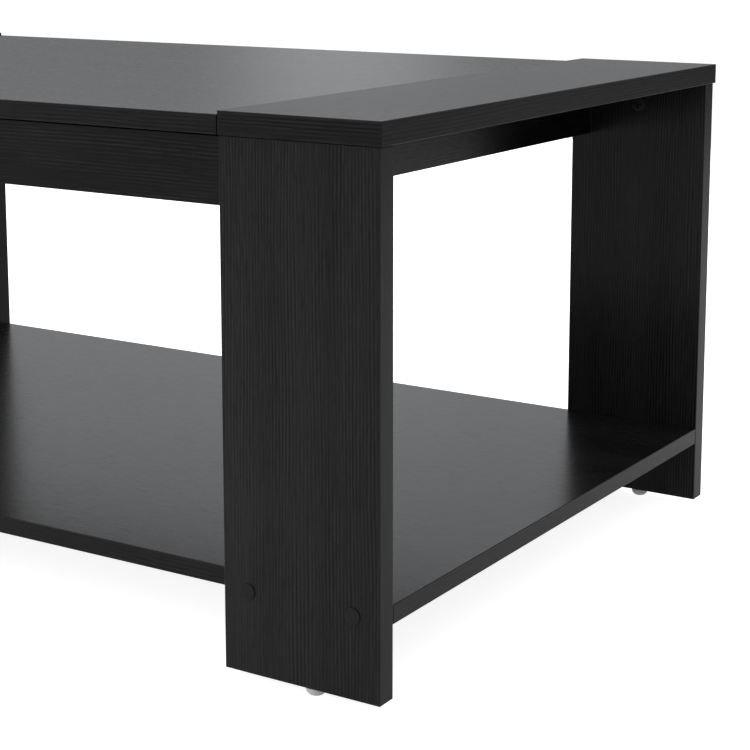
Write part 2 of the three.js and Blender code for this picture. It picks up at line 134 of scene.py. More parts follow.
class Surface(Nodes):
    """A material under construction, on its Principled shader."""

    def __init__(self, name, roughness, metallic=0.0, specular=0.5):
        self.material = bpy.data.materials.new(name)
        self.material.use_nodes = True
        super().__init__(self.material.node_tree)
        self.shader = self.tree.nodes["Principled BSDF"]
        self.wire("Roughness", roughness)
        self.wire("Metallic", metallic)
        self.wire("Specular IOR Level", specular)

    def wire(self, socket, value):
        self.put(self.shader, socket, value)

    def grain_map(self):
        """Metres along and across the grain of the board's own face."""
        return self.node("ShaderNodeUVMap", {}, uv_map="grain").outputs[0]

    def object_map(self):
        return self.node("ShaderNodeTexCoord", {}).outputs["Object"]

    def face_value(self, name):
        return self.node("ShaderNodeAttribute", {}, attribute_name=name).outputs["Fac"]

    def noise(self, place, density, detail=2.0, roughness=0.5, distortion=0.0, shift=(0, 0, 0)):
        """Noise with density features to the metre along each axis of place."""
        mapping = {"Vector": place, "Scale": density, "Location": shift}
        spread = self.node("ShaderNodeMapping", mapping).outputs[0]
        inputs = {"Vector": spread, "Scale": 1.0, "Detail": detail}
        inputs.update({"Roughness": roughness, "Distortion": distortion})
        return self.node("ShaderNodeTexNoise", inputs).outputs["Fac"]

    def blend(self, share, first, second):
        """A mix of two colours, on the Mix node's colour sockets."""
        inputs = {0: share, 6: first, 7: second}
        return self.node("ShaderNodeMix", inputs, data_type="RGBA").outputs[2]

    def bump(self, height, distance, strength):
        inputs = {"Height": height, "Distance": distance, "Strength": strength}
        self.wire("Normal", self.node("ShaderNodeBump", inputs).outputs[0])


def scaled(colour, factor):
    return tuple(channel * factor for channel in colour)


# ---------------------------------------------------------------- materials


LINE_PITCH = 3.0 * MM  # of the printed growth lines
LINE_WANDER = 34  # radians of phase over the whole range of the noise that bends them
PORE_DARKNESS = 0.6
BAND_DARKNESS = 0.3
# lighter rounded edges: part edge wear, part painted highlight along the corners
EDGE_WEAR_AND_HIGHLIGHT = 0.3
FOIL_WARMTH = (1.0, 0.9, 0.86)
FOIL_ROUGHNESS = 0.28


def wood_grain(name, dark, light):
    """Wood-grain foil: close growth lines that wander a little, over bands, fibres and pores."""
    look = Surface(name, roughness=0.3, specular=0.1)
    tone, dull, edge, band = [look.face_value(value) for value in FACE_VALUES]
    place = look.grain_map()
    bands = look.noise(place, (1.3, 24, 1), distortion=0.4)
    clouds = look.noise(place, (9, 9, 1), detail=3.0, shift=(0.4, 4.4, 0))
    rubbing_and_sheen = look.noise(place, (40, 40, 1), detail=3.0, shift=(2.2, 8.1, 0))
    fibres = look.noise(place, (26, 620, 1), detail=3.0, roughness=0.7, shift=(1.3, 9.2, 0))
    pores = look.ramp(look.noise(place, (55, 1000, 1), detail=1.0, shift=(7.7, 2.9, 0)), 0.58, 0.70)

    wander = look.noise(place, (1.9, 11, 1), detail=3.0, shift=(5.1, 3.3, 0))
    across = look.node("ShaderNodeSeparateXYZ", {0: place}).outputs["Y"]
    phase = look.weighted((across, 2 * math.pi / LINE_PITCH), (wander, LINE_WANDER))
    lines = look.ramp(look.maths("SINE", phase, 0.0), -1.0, 1.0)
    strength = look.noise(place, (6, 90, 1), detail=4.0, roughness=0.65, shift=(3.1, 0.7, 0))
    drawn = look.maths("MULTIPLY", look.maths("SUBTRACT", lines, 0.5), look.ramp(strength, 0.35, 0.65))

    figure = look.weighted((drawn, 0.43), (bands, 0.4), (fibres, 0.6), (tone, 1.0))
    colour = look.blend(look.ramp(figure, 0.3, 0.7), dark, light)
    warm = tuple(channel * share for channel, share in zip(light, FOIL_WARMTH))
    colour = look.blend(look.ramp(clouds, 0.45, 0.75, 0.0, 0.3), colour, warm)
    colour = look.blend(look.maths("MULTIPLY", pores, PORE_DARKNESS), colour, scaled(dark, 0.3))
    colour = look.blend(look.maths("MULTIPLY", band, BAND_DARKNESS), colour, scaled(dark, 0.6))
    # Rounded edges painted lighter in rubbed patches: part edge wear, part painted highlight
    worn_and_lit = look.maths("MULTIPLY", edge, look.ramp(rubbing_and_sheen, 0.35, 0.7, 0.3, 1.0))
    colour = look.blend(look.maths("MULTIPLY", worn_and_lit, EDGE_WEAR_AND_HIGHLIGHT), colour, scaled(light, 1.8))
    look.wire("Base Color", colour)

    print_marks = ((drawn, -0.06), (fibres, -0.08), (pores, 0.05))
    face_marks = ((band, 0.12), (edge, 0.08), (dull, 1.0))
    look.wire("Roughness", look.maths("ADD", look.weighted(*print_marks, *face_marks), FOIL_ROUGHNESS))
    look.bump(look.weighted((drawn, 0.6), (fibres, 0.2), (pores, -0.2)), 0.02 * MM, 0.25)
    return look.material


def hardboard(name):
    """Thin pressed fibre board with a black paper face."""
    look = Surface(name, roughness=0.72, specular=0.3)
    place = look.object_map()
    flecks = look.noise(place, (420, 420, 420), detail=3.0, roughness=0.7)
    clouds = look.noise(place, (12, 12, 12))
    colour = look.blend(look.ramp(flecks, 0.4, 0.65), (0.010, 0.0095, 0.009), (0.026, 0.024, 0.022))
    clouded = look.ramp(clouds, 0.4, 0.7, 0.0, 0.4)
    look.wire("Base Color", look.blend(clouded, colour, (0.018, 0.017, 0.016)))
    look.wire("Roughness", look.ramp(flecks, 0.3, 0.7, 0.66, 0.8))
    look.bump(flecks, 0.1 * MM, 0.5)
    return look.material


def coated_steel(name):
    """Black powder coat: fine orange peel, rubbed a little greyer in places."""
    look = Surface(name, roughness=0.4, specular=0.16)
    place = look.object_map()
    peel = look.noise(place, (900, 900, 900))
    scuffs = look.noise(place, (160, 45, 160), detail=4.0, roughness=0.7, shift=(0.3, 0.1, 0.2))
    rubbed = look.ramp(scuffs, 0.58, 0.72, 0.0, 0.4)
    look.wire("Base Color", look.blend(rubbed, (0.006, 0.006, 0.0065), (0.03, 0.03, 0.032)))
    look.wire("Roughness", look.ramp(peel, 0.3, 0.7, 0.34, 0.5))
    look.bump(peel, 0.08 * MM, 0.6)
    return look.material


def plated_steel(name, colour, mark_density):
    """Zinc plate: clouded gloss over fine turning or drawing marks."""
    look = Surface(name, roughness=0.3, metallic=1.0)
    place = look.object_map()
    clouds = look.noise(place, (70, 70, 70), detail=3.0)
    marks = look.noise(place, mark_density)
    look.wire("Base Color", look.blend(look.ramp(clouds, 0.35, 0.65), colour, scaled(colour, 0.7)))
    look.wire("Roughness", look.ramp(clouds, 0.3, 0.7, 0.24, 0.42))
    look.bump(marks, 0.02 * MM, 0.4)
    return look.material


def moulded_plastic(name, colour, roughness, texture_density, specular=0.4):
    """Moulded plastic or rubber: faint clouds and a fine spark-eroded texture."""
    look = Surface(name, roughness=roughness, specular=specular)
    place = look.object_map()
    clouds = look.noise(place, (90, 90, 90))
    texture = look.noise(place, (texture_density,) * 3)
    look.wire("Base Color", look.blend(look.ramp(clouds, 0.3, 0.7), colour, scaled(colour, 0.8)))
    look.wire("Roughness", look.ramp(texture, 0.3, 0.7, roughness - 0.05, roughness + 0.07))
    look.bump(texture, 0.04 * MM, 0.4)
    return look.material


FOIL_DARK, FOIL_LIGHT = (0.0003, 0.0003, 0.0003), (0.0124, 0.0112, 0.0112)
COVER_BLACK = (0.0078, 0.0070, 0.0066)
GLIDE_GREY = (0.36, 0.36, 0.37)
RUBBER_BLACK = (0.018, 0.018, 0.018)
ZINC, WIRE_ZINC = (0.62, 0.62, 0.63), (0.55, 0.55, 0.56)

FINISHES = {
    "black_board": wood_grain("black_board", FOIL_DARK, FOIL_LIGHT),
    "box_floor_board": hardboard("box_floor_board"),
    "cover_plastic": moulded_plastic("cover_plastic", COVER_BLACK, 0.34, 900, specular=0.1),
    "glide_plastic": moulded_plastic("glide_plastic", GLIDE_GREY, 0.3, 1400),
    "bumper_rubber": moulded_plastic("bumper_rubber", RUBBER_BLACK, 0.7, 700),
    "plated_steel": plated_steel("plated_steel", ZINC, (2000, 2000, 2000)),
    "black_steel": coated_steel("black_steel"),
    "spring_steel": plated_steel("spring_steel", WIRE_ZINC, (600, 2700, 600)),
}
SLOTS = {part["node"]: part["material_slot"] for part in frame["record"]["subparts"]}


# ---------------------------------------------------------------- pieces


def to_mesh(name, bm, smooth_below=None):
    """A mesh that faces outwards, shaded smooth over edges flatter than smooth_below degrees."""
    bmesh.ops.recalc_face_normals(bm, faces=bm.faces)
    if bm.calc_volume(signed=True) < 0:
        bmesh.ops.reverse_faces(bm, faces=bm.faces)
    mesh = bpy.data.meshes.new(name)
    bm.to_mesh(mesh)
    bm.free()
    if smooth_below is not None:
        shade(mesh, smooth_below)
    return mesh


def shade(mesh, smooth_below):
    mesh.polygons.foreach_set("use_smooth", [True] * len(mesh.polygons))
    mesh.set_sharp_from_angle(angle=math.radians(smooth_below))


def evaluated(mesh, kind, **settings):
    """The mesh after one modifier."""
    holder = bpy.data.objects.new(mesh.name, mesh)
    bpy.context.scene.collection.objects.link(holder)
    modifier = holder.modifiers.new("change", kind)
    for name, value in settings.items():
        setattr(modifier, name, value)
    bpy.context.view_layer.update()
    changed = holder.evaluated_get(bpy.context.evaluated_depsgraph_get())
    result = bpy.data.meshes.new_from_object(changed)
    bpy.data.objects.remove(holder)
    return result


def keep_flats_flat(mesh):
    """Normals weighted by area, so that rounded edges don't bend the shading of the large faces."""
    return evaluated(mesh, "WEIGHTED_NORMAL", keep_sharp=True, weight=100)


def piece(name, mesh, slot, body, stands_for=(), place=None):
    """Shows a mesh as a piece of the object that rides on a CAD body."""
    shown = bpy.data.objects.new(name, mesh)
    bpy.context.scene.collection.objects.link(shown)
    if not mesh.materials:
        mesh.materials.append(FINISHES[slot])
    if place is not None:
        shown.matrix_world = place
    if stands_for:
        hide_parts(*stands_for)
    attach(shown, body)
    return shown


def standing_for(node, suffix, mesh, place=None):
    """A piece in place of one CAD node, on its body and in its slot."""
    body = frame["nodes"][node]["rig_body"]
    return piece(f"{node}_{suffix}", mesh, SLOTS[node], body, [node], place)


def middle(node):
    low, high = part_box(node)
    return (low + high) / 2


def inner_and_outer_y(node, face):
    """The Y of a node's side towards the middle of the table, and of its other side."""
    low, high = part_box(node)
    return (low.y, high.y) if FACES[face] > 0 else (high.y, low.y)


def subtract(mesh, cutter_mesh):
    """The mesh less the cutter. Both are closed."""
    cutter = bpy.data.objects.new("cutter", cutter_mesh)
    bpy.context.scene.collection.objects.link(cutter)
    settings = {"operation": "DIFFERENCE", "solver": "EXACT", "use_self": True, "object": cutter}
    result = evaluated(mesh, "BOOLEAN", **settings)
    bpy.data.objects.remove(cutter)
    result.materials.clear()
    return result


def add_cylinder(bm, start, end, radius, segments=48):
    """A closed round bar from one point to another."""
    along = end - start
    turn = along.to_track_quat("Z", "Y").to_matrix().to_4x4()
    place = Matrix.Translation((start + end) / 2) @ turn
    sizes = {"segments": segments, "radius1": radius, "radius2": radius, "depth": along.length}
    bmesh.ops.create_cone(bm, cap_ends=True, matrix=place, **sizes)


def add_block(bm, low, high):
    made = bmesh.ops.create_cube(bm, size=1.0)
    for vert in made["verts"]:
        vert.co = Vector(low[i] + (high[i] - low[i]) * (vert.co[i] + 0.5) for i in range(3))


# ---------------------------------------------------------------- boards

BOARD_EDGE = 0.7 * MM
EDGE_SEGMENTS = 3
APRON_PAINTED_SHADE = -0.2  # painted shade: the aprons, set back under the top and the caps, are coloured darker
CAP_DULL = 0.15  # the caps' foil is rougher
CUT_PAST = 1 * MM  # how far a cutter runs past the face it starts from
BORE_SEGMENTS = 24
SCREW_SHANK = 3 * MM
SCREW_HEAD_HEIGHT = 2.6 * MM
SCREW_ROOM = 3 * MM  # past a shelf screw's tip
GLIDE_STEM = 2.5 * MM
FACE_SHIFT, SIDE_SHIFT = 0.37, 0.19  # metres of print between the faces of one board
SHIFT_ALONG = 3  # times as much along the grain as across it


def map_grain(bm, size, grain, offset):
    """Lays the grain map on every face. On faces across the grain, it runs along the longer side."""
    layer = bm.loops.layers.uv.new("grain")
    for face in bm.faces:
        facing = max(range(3), key=lambda axis: abs(face.normal[axis]))
        in_face = [axis for axis in range(3) if axis != facing]
        along = grain if grain in in_face else max(in_face, key=lambda axis: size[axis])
        across = sum(in_face) - along
        shift = offset + FACE_SHIFT * facing + (SIDE_SHIFT if face.normal[facing] > 0 else 0.0)
        for loop in face.loops:
            point = loop.vert.co
            loop[layer].uv = (point[along] + SHIFT_ALONG * shift, point[across] + shift)


def mark_faces(bm, size, board_tone, board_dull):
    """The board's tone and dullness on all its faces, and 1 on its edges and its narrow sides."""
    tone, dull, edge, band = [bm.faces.layers.float.new(value) for value in FACE_VALUES]
    thin = min(range(3), key=lambda axis: size[axis])
    for face in bm.faces:
        face[tone] = board_tone
        face[dull] = board_dull
        face[edge] = 0.0 if max(abs(part) for part in face.normal) > 0.999 else 1.0
        face[band] = 1.0 if abs(face.normal[thin]) < 0.001 else 0.0


def board(node, grain, offset, cutters=None, tone=0.0, dull=0.0):
    """A board of the CAD node's size, with rounded edges and the grain along one axis."""
    low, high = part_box(node)
    bm = bmesh.new()
    add_block(bm, low, high)
    rounding = {"offset": BOARD_EDGE, "segments": EDGE_SEGMENTS, "profile": 0.5}
    bmesh.ops.bevel(bm, geom=bm.edges[:], affect="EDGES", **rounding)
    bm.normal_update()
    map_grain(bm, high - low, grain, offset)
    mark_faces(bm, high - low, tone, dull)
    mesh = to_mesh(node, bm)
    if cutters is not None:
        mesh = subtract(mesh, to_mesh("cutters", cutters))
    shade(mesh, SMOOTH_FLAT)
    return standing_for(node, "board", keep_flats_flat(mesh))


def screw_nodes(end, face):
    return [f"shelf_screw_{face}_{end}_{number}" for number in (1, 2)]


def add_screw_bore(bm, node, face, from_y):
    """The bore for a shelf screw's shank, from the face of a board at from_y to past its tip."""
    centre = middle(node)
    tip_y = inner_and_outer_y(node, face)[0] - FACES[face] * SCREW_ROOM
    start = Vector((centre.x, from_y + FACES[face] * CUT_PAST, centre.z))
    end = Vector((centre.x, tip_y, centre.z))
    add_cylinder(bm, start, end, SCREW_SHANK + GAP, BORE_SEGMENTS)


def leg_cutters(end, face):
    """Everything that is sunk into a leg: the cam, the two shelf screws and the glide's stem."""
    bm = bmesh.new()
    sign = FACES[face]
    leg = f"leg_{face}_{end}"
    inner_y, outer_y = inner_and_outer_y(leg, face)
    low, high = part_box(f"cam_{face}_{end}")
    cam = (low + high) / 2
    floor_y = cam.y + sign * ((high.y - low.y) / 2 + GAP)
    mouth = Vector((cam.x, inner_y - sign * CUT_PAST, cam.z))
    add_cylinder(bm, mouth, Vector((cam.x, floor_y, cam.z)), (high.x - low.x) / 2 + GAP)
    for node in screw_nodes(end, face):
        add_screw_bore(bm, node, face, outer_y)
        low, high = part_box(node)
        centre = (low + high) / 2
        seat = Vector((centre.x, outer_y - sign * (SCREW_HEAD_HEIGHT + GAP), centre.z))
        start = Vector((centre.x, outer_y + sign * CUT_PAST, centre.z))
        add_cylinder(bm, start, seat, (high.x - low.x) / 2 + GAP)
    glide = middle(f"glide_{face}_{end}")
    stem_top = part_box(f"glide_{face}_{end}")[1].z
    start = Vector((glide.x, glide.y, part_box(leg)[0].z - CUT_PAST))
    top = Vector((glide.x, glide.y, stem_top + CUT_PAST))
    add_cylinder(bm, start, top, GLIDE_STEM + GAP, BORE_SEGMENTS)
    return bm


def shelf_cutters():
    bm = bmesh.new()
    for end in ENDS:
        for face in FACES:
            outer_y = inner_and_outer_y("lower_shelf", face)[1]
            for node in screw_nodes(end, face):
                add_screw_bore(bm, node, face, outer_y)
    return bm


def groove_cutter():
    """The room that the box floor takes up in the aprons' grooves."""
    bm = bmesh.new()
    low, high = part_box("box_floor")
    room = Vector((GAP, GAP, GAP))
    add_block(bm, low - room, high + room)
    return bm


board("lift_top", X, 0.11)
board("lower_shelf", X, 0.53, shelf_cutters())
# The aprons carry painted shade for their recess under the top and the caps.
board("front_apron", X, 0.87, groove_cutter(), APRON_PAINTED_SHADE)
board("back_apron", X, 1.31, groove_cutter(), APRON_PAINTED_SHADE)
board("box_floor", X, 0.2)
for number, end in enumerate(ENDS):
    board(f"end_cap_{end}", Y, 1.7 + 0.41 * number, dull=CAP_DULL)
    board(f"side_apron_{end}", Y, 2.6 + 0.23 * number, groove_cutter(), APRON_PAINTED_SHADE)
    for row, face in enumerate(FACES):
        offset = 3.3 + 0.61 * number + 0.29 * row
        board(f"leg_{face}_{end}", Z, offset, leg_cutters(end, face))


# ---------------------------------------------------------------- turned hardware


def turned(name, profile, segments=48):
    """A mesh turned about Z. The profile's points are (radius, height), from axis to axis."""
    bm = bmesh.new()
    rings = []
    for radius, height in profile:
        if radius == 0:
            rings.append([bm.verts.new((0, 0, height))])
            continue
        turns = [2 * math.pi * step / segments for step in range(segments)]
        points = [(radius * math.cos(t), radius * math.sin(t), height) for t in turns]
        rings.append([bm.verts.new(point) for point in points])
    for lower, upper in zip(rings, rings[1:]):
        for step in range(segments):
            corners = [ring[k % len(ring)] for ring, k in ((lower, step), (lower, step + 1))]
            corners += [ring[k % len(ring)] for ring, k in ((upper, step + 1), (upper, step))]
            bm.faces.new(dict.fromkeys(corners))
    return to_mesh(name, bm, SMOOTH_TURNED)


def rounded(radius, start, end, corner, steps=5):
    """Profile points up from (radius, start), and round a quarter turn to face the axis at end."""
    toward = 1 if end > start else -1
    rim = end - toward * corner
    points = [(radius, start), (radius, rim)]
    for step in range(1, steps + 1):
        angle = math.pi / 2 * step / steps
        across = radius - corner + corner * math.cos(angle)
        points.append((across, rim + toward * corner * math.sin(angle)))
    return points


def dome(radius, start, height, steps=6):
    """Profile points of a low dome from its rim at start to its crown on the axis."""
    angles = [math.pi / 2 * step / steps for step in range(steps + 1)]
    points = [(radius * math.cos(a), start + height * math.sin(a)) for a in angles[:-1]]
    return [*points, (0, start + height)]


def crossed(mesh, width, length, floor, mouth):
    """The mesh with a driver's cross cut into it, from the cross's floor up past its mouth."""
    for x, y in ((length / 2, width / 2), (width / 2, length / 2)):
        bm = bmesh.new()
        add_block(bm, Vector((-x, -y, floor)), Vector((x, y, mouth)))
        mesh = subtract(mesh, to_mesh("cross", bm))
    shade(mesh, SMOOTH_TURNED)
    return mesh


def facing(point, direction):
    """A placement with the mesh's +Z along direction."""
    return Matrix.Translation(point) @ direction.to_track_quat("Z", "Y").to_matrix().to_4x4()


def glide_mesh():
    """Nail-on glide: a smooth dome with a small flat, and its stem."""
    low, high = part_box("glide_front_right")
    radius = (high.x - low.x) / 2
    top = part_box("leg_front_right")[0].z - GAP
    flat, collar, chamfer, point, steps = 3.0 * MM, 1 * MM, 0.2 * MM, 2 * MM, 10
    crown = top - collar
    sweep = [math.pi / 2 * step / steps for step in range(steps + 1)]
    under = [(flat + (radius - flat) * math.sin(a), crown * (1 - math.cos(a))) for a in sweep]
    stem = [(radius, top - chamfer), (radius - chamfer, top), (GLIDE_STEM, top)]
    tip = [(GLIDE_STEM, high.z - point), (0, high.z)]
    return turned("glide", [(0, 0), *under, *stem, *tip])


def cover_mesh():
    """Stick-on screw cover: a thin disc with a soft rim, a little higher in its middle."""
    low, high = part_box("screw_cover_front_right_1")
    radius, height = (high.x - low.x) / 2, high.y - low.y
    rim = rounded(radius, 0, height * 0.75, height * 0.5)
    return turned("screw_cover", [(0, 0), *rim, (radius * 0.5, height * 0.82), (0, height * 0.85)])


def cam_mesh():
    """Cam disc with a driver's cross in its face."""
    low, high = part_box("cam_front_right")
    radius, depth = (high.x - low.x) / 2, high.y - low.y
    mesh = turned("cam", [(0, -depth), *rounded(radius, -depth, 0, 0.6 * MM), (0, 0)])
    return crossed(mesh, width=1.6 * MM, length=9 * MM, floor=-2.5 * MM, mouth=1 * MM)


def bumper_mesh():
    """Rubber bumper: a dome on a short straight rim."""
    low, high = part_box("bumper_front_right")
    radius, height = (high.x - low.x) / 2, high.z - low.z
    return turned("bumper", [(0, 0), (radius, 0), *dome(radius, height * 0.25, height * 0.75)])


def shelf_screw_mesh():
    """Connecting screw with a flat head, a hexagon socket and ribs for its thread."""
    low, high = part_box("shelf_screw_front_right_1")
    head, length = (high.x - low.x) / 2, high.y - low.y
    root, pitch, plain, point = 2.2 * MM, 3 * MM, 12 * MM, 3 * MM
    profile = [(0, -length), (1.2 * MM, -length + 1.5 * MM)]
    ribs = int((length - plain - point) / pitch)
    for rib in range(ribs):
        base = -length + point + rib * pitch
        profile += [(root, base), (SCREW_SHANK, base + 0.5 * pitch), (root, base + 0.7 * pitch)]
    profile += [(SCREW_SHANK, -plain), (SCREW_SHANK, -SCREW_HEAD_HEIGHT)]
    profile += rounded(head, -SCREW_HEAD_HEIGHT, 0, 0.4 * MM)
    mesh = turned("shelf_screw", [*profile, (0, 0)], 24)
    socket = bmesh.new()
    add_cylinder(socket, AXES[Z] * -2 * MM, AXES[Z] * MM, 2.2 * MM, segments=6)
    mesh = subtract(mesh, to_mesh("socket", socket))
    shade(mesh, SMOOTH_TURNED)
    return mesh


def add_leg_hardware():
    upright = {"glide": glide_mesh(), "bumper": bumper_mesh()}
    cam = cam_mesh()
    meshes = {"screw_cover": cover_mesh(), "shelf_screw": shelf_screw_mesh()}
    for end in ENDS:
        for face, sign in FACES.items():
            corner = f"{face}_{end}"
            outwards = AXES[Y] * sign
            for kind, mesh in upright.items():
                node = f"{kind}_{corner}"
                centre = middle(node)
                place = Matrix.Translation((centre.x, centre.y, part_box(node)[0].z))
                standing_for(node, "turned", mesh, place)
            node = f"cam_{corner}"
            centre = middle(node)
            mouth = Vector((centre.x, inner_and_outer_y(node, face)[0], centre.z))
            standing_for(node, "disc", cam, facing(mouth, -outwards))
            for number in (1, 2):
                for kind, mesh in meshes.items():
                    node = f"{kind}_{corner}_{number}"
                    centre = middle(node)
                    inner_y, outer_y = inner_and_outer_y(node, face)
                    at = Vector((centre.x, inner_y if kind == "screw_cover" else outer_y, centre.z))
                    standing_for(node, "turned", mesh, facing(at, outwards))


add_leg_hardware()


# ---------------------------------------------------------------- sheet metal

SHEET_EDGE = 0.35 * MM
SHEET = 2 * MM  # both brackets
BEND_INNER = 1.5 * MM
BEND_OUTER = BEND_INNER + SHEET
BEND_LENGTH = math.pi / 2 * (BEND_INNER + SHEET / 2)  # of flat blank that a bend takes up
BEND_STEPS = 6


def arc(centre, radius, start, end, steps=12):
    """Points of an arc between two angles in degrees, ends included."""
    angles = [math.radians(start + (end - start) * step / steps) for step in range(steps + 1)]
    return [(centre[0] + radius * math.cos(a), centre[1] + radius * math.sin(a)) for a in angles]


def round_hole(centre, radius, segments=40):
    return arc(centre, radius, 360, 0, segments)[:-1]


def filleted(corners, radius, steps=5):
    """A closed outline through the corners, each of them rounded."""
    outline = []
    for i, corner in enumerate(corners):
        here = Vector(corner)
        back = Vector(corners[i - 1]) - here
        ahead = Vector(corners[(i + 1) % len(corners)]) - here
        half = back.angle(ahead) / 2
        reach = min(radius / math.tan(half), 0.45 * min(back.length, ahead.length))
        first, last = here + back.normalized() * reach, here + ahead.normalized() * reach
        for t in [step / steps for step in range(steps + 1)]:
            outline.append(tuple(first * (1 - t) ** 2 + here * 2 * t * (1 - t) + last * t**2))
    return outline


def inset(loop, amount):
    """The loop moved to its left by amount, with mitred corners."""
    moved = []
    for i, point in enumerate(loop):
        here, before, after = Vector(point), Vector(loop[i - 1]), Vector(loop[(i + 1) % len(loop)])
        normals = [Vector((-way.y, way.x)).normalized() for way in (here - before, after - here)]
        mitre = (normals[0] + normals[1]).normalized()
        moved.append(here + mitre * amount / max(mitre.dot(normals[0]), 0.3))
    return moved


def blank(outline, holes, thickness):
    """A flat blank with rounded edges, as (depth, u, v).

    The outline runs counter-clockwise in u and v, and the holes clockwise.
    """
    bm = bmesh.new()
    chamfer = SHEET_EDGE * (1 - math.sqrt(0.5))
    section = [(SHEET_EDGE, 0), (chamfer, chamfer), (0, SHEET_EDGE)]
    section += [(amount, thickness - depth) for amount, depth in reversed(section)]
    near_rim, far_rim = [], []
    for loop in (outline, *holes):
        rings = []
        for amount, depth in section:
            rings.append([bm.verts.new((depth, *point)) for point in inset(loop, amount)])
        for lower, upper in zip(rings, rings[1:]):
            for i in range(len(loop)):
                bm.faces.new((lower[i - 1], lower[i], upper[i], upper[i - 1]))
        for ring, rim in ((rings[0], near_rim), (rings[-1], far_rim)):
            rim += [bm.edges.get((ring[i - 1], ring[i])) for i in range(len(ring))]
    for rim in (near_rim, far_rim):
        bmesh.ops.triangle_fill(bm, use_beauty=True, edges=rim, normal=(1, 0, 0))
    return bm


def flange_end(line, reach):
    """Where a blank ends, so that its folded flange reaches that far from the wall's near face."""
    return line - BEND_LENGTH - (reach - BEND_OUTER)


def fold(bm, line):
    """Bends what lies below v = line by a right angle, towards greater depth."""
    for step in range(BEND_STEPS + 1):
        place = (0, 0, line - BEND_LENGTH * step / BEND_STEPS)
        everything = bm.verts[:] + bm.edges[:] + bm.faces[:]
        bmesh.ops.bisect_plane(bm, geom=everything, dist=1e-7, plane_co=place, plane_no=(0, 0, 1))
    for vert in bm.verts:
        below = line - vert.co.z
        if below > 0:
            angle = min(below / BEND_LENGTH, 1.0) * math.pi / 2
            radius = BEND_OUTER - vert.co.x
            beyond = max(below - BEND_LENGTH, 0.0)
            vert.co.x = BEND_OUTER - radius * math.cos(angle) + beyond
            vert.co.z = line - radius * math.sin(angle)


# ---------------------------------------------------------------- lift mechanisms

BOX_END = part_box("side_apron_right")[0].x
PIN_RADIUS = 4 * MM
PIN_HOLE = 4.2 * MM
SHOULDER_RADIUS = 6 * MM
HEAD_RADIUS = 7 * MM
HEAD_HEIGHT = 1.5 * MM
HEAD_RIM = 0.5 * MM
STUD_RADIUS = 3 * MM
STUD_NECK = 1.8 * MM
STUD_CLEARANCE = 3.5 * MM  # from a spring stud's centre to the end of the coil's solid
LOBE_RADIUS = 6 * MM
STOP_REACH = 20 * MM  # front arm's top pivot to the stop stud, along the open arm
WIRE_RADIUS = 0.8 * MM  # of the springs
SCREW_HOLE = 2.2 * MM
SCREW_HOLE_SEGMENTS = 20
SCREW_INSET = 10 * MM  # of the top bracket's screws, from its flange's edge
BRACKET_CORNER = 2.5 * MM
LIFT_JOINTS = {"right": "lift", "left": "rear_link_left_turn"}


def depths(side, node):
    """A node's nearest and farthest depth, inwards from the side apron's face."""
    return tuple(sorted(BOX_END - side * corner.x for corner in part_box(node)))


def pivot(node):
    """The Y and Z of a pin's axis."""
    centre = middle(node)
    return Vector((centre.y, centre.z))


def turned_by(point, angle):
    return Matrix.Rotation(angle, 2) @ point


class Mechanism:
    """The measures of one lift mechanism, all worked out from its CAD nodes."""

    def __init__(self, end):
        self.end, self.side = end, ENDS[end]
        names = ("front_base", "rear_base", "front_top", "rear_top")
        self.pivots = {name: pivot(f"{name}_pin_{end}") for name in names}
        reach = self.pivots["front_top"] - self.pivots["front_base"]
        self.arm_length, self.arm_angle = reach.length, math.atan2(reach.y, reach.x)
        joint = next(row for row in frame["joints"] if row["name"] == LIFT_JOINTS[end])
        self.travel = math.radians(joint["range_deg"][1])
        low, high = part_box(f"lift_spring_{end}")
        self.anchor = Vector((low.y - STUD_CLEARANCE, (low.z + high.z) / 2))
        self.lever = Vector((high.y + STUD_CLEARANCE, (low.z + high.z) / 2))
        self.coil_depth = sum(depths(self.side, f"lift_spring_{end}")) / 2
        self.coil_radius = (high.z - low.z) / 2
        self.front_arm = depths(self.side, f"front_arm_{end}")
        far = depths(self.side, f"rear_arm_{end}")[1]
        self.rear_arm = (far - self.front_arm[1] + self.front_arm[0], far)
        near = depths(self.side, f"top_bracket_{end}")[0]
        self.top_plate = (near, near + SHEET)
        near = depths(self.side, f"base_bracket_{end}")[0]
        self.base_plate = (near, near + SHEET)
        low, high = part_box(f"front_arm_{end}")
        self.arm_half_width = ((high.z - low.z) - abs(reach.y)) / 2

    def x_at(self, depth):
        return self.side * (BOX_END - depth)

    def into_place(self, bm, near, origin=(0, 0), angle=0.0, upside_down=False):
        """Sets a blank in its layer, turned about X and with its own origin at origin."""
        for vert in bm.verts:
            depth, u, v = vert.co
            point = turned_by(Vector((u, -v if upside_down else v)), angle)
            vert.co = (self.x_at(near + depth), origin[0] + point.x, origin[1] + point.y)

    def across(self, point, depth=0.0, outwards=False):
        """A placement for a turned mesh at a depth, with its +Z inwards, or outwards."""
        towards = AXES[X] * (self.side if outwards else -self.side)
        return facing(Vector((self.x_at(depth), *point)), towards)

    def add(self, name, mesh, body, place):
        piece(f"{name}_{self.end}", mesh, "plated_steel", body, (), place)


def arm_outline(lift, lobe=None):
    """A strip with round ends. With a lobe, it widens to hold a stud there."""
    half = lift.arm_half_width
    outline = arc((0, 0), half, 90, 270, 20) + arc((lift.arm_length, 0), half, -90, 90, 20)
    if lobe is None:
        return outline
    spread = half + LOBE_RADIUS
    before, after = (lobe[0] + spread, half), (lobe[0] - 0.72 * spread, half)
    return [*outline, before, *arc(lobe, LOBE_RADIUS, 25, 150, 14), after]


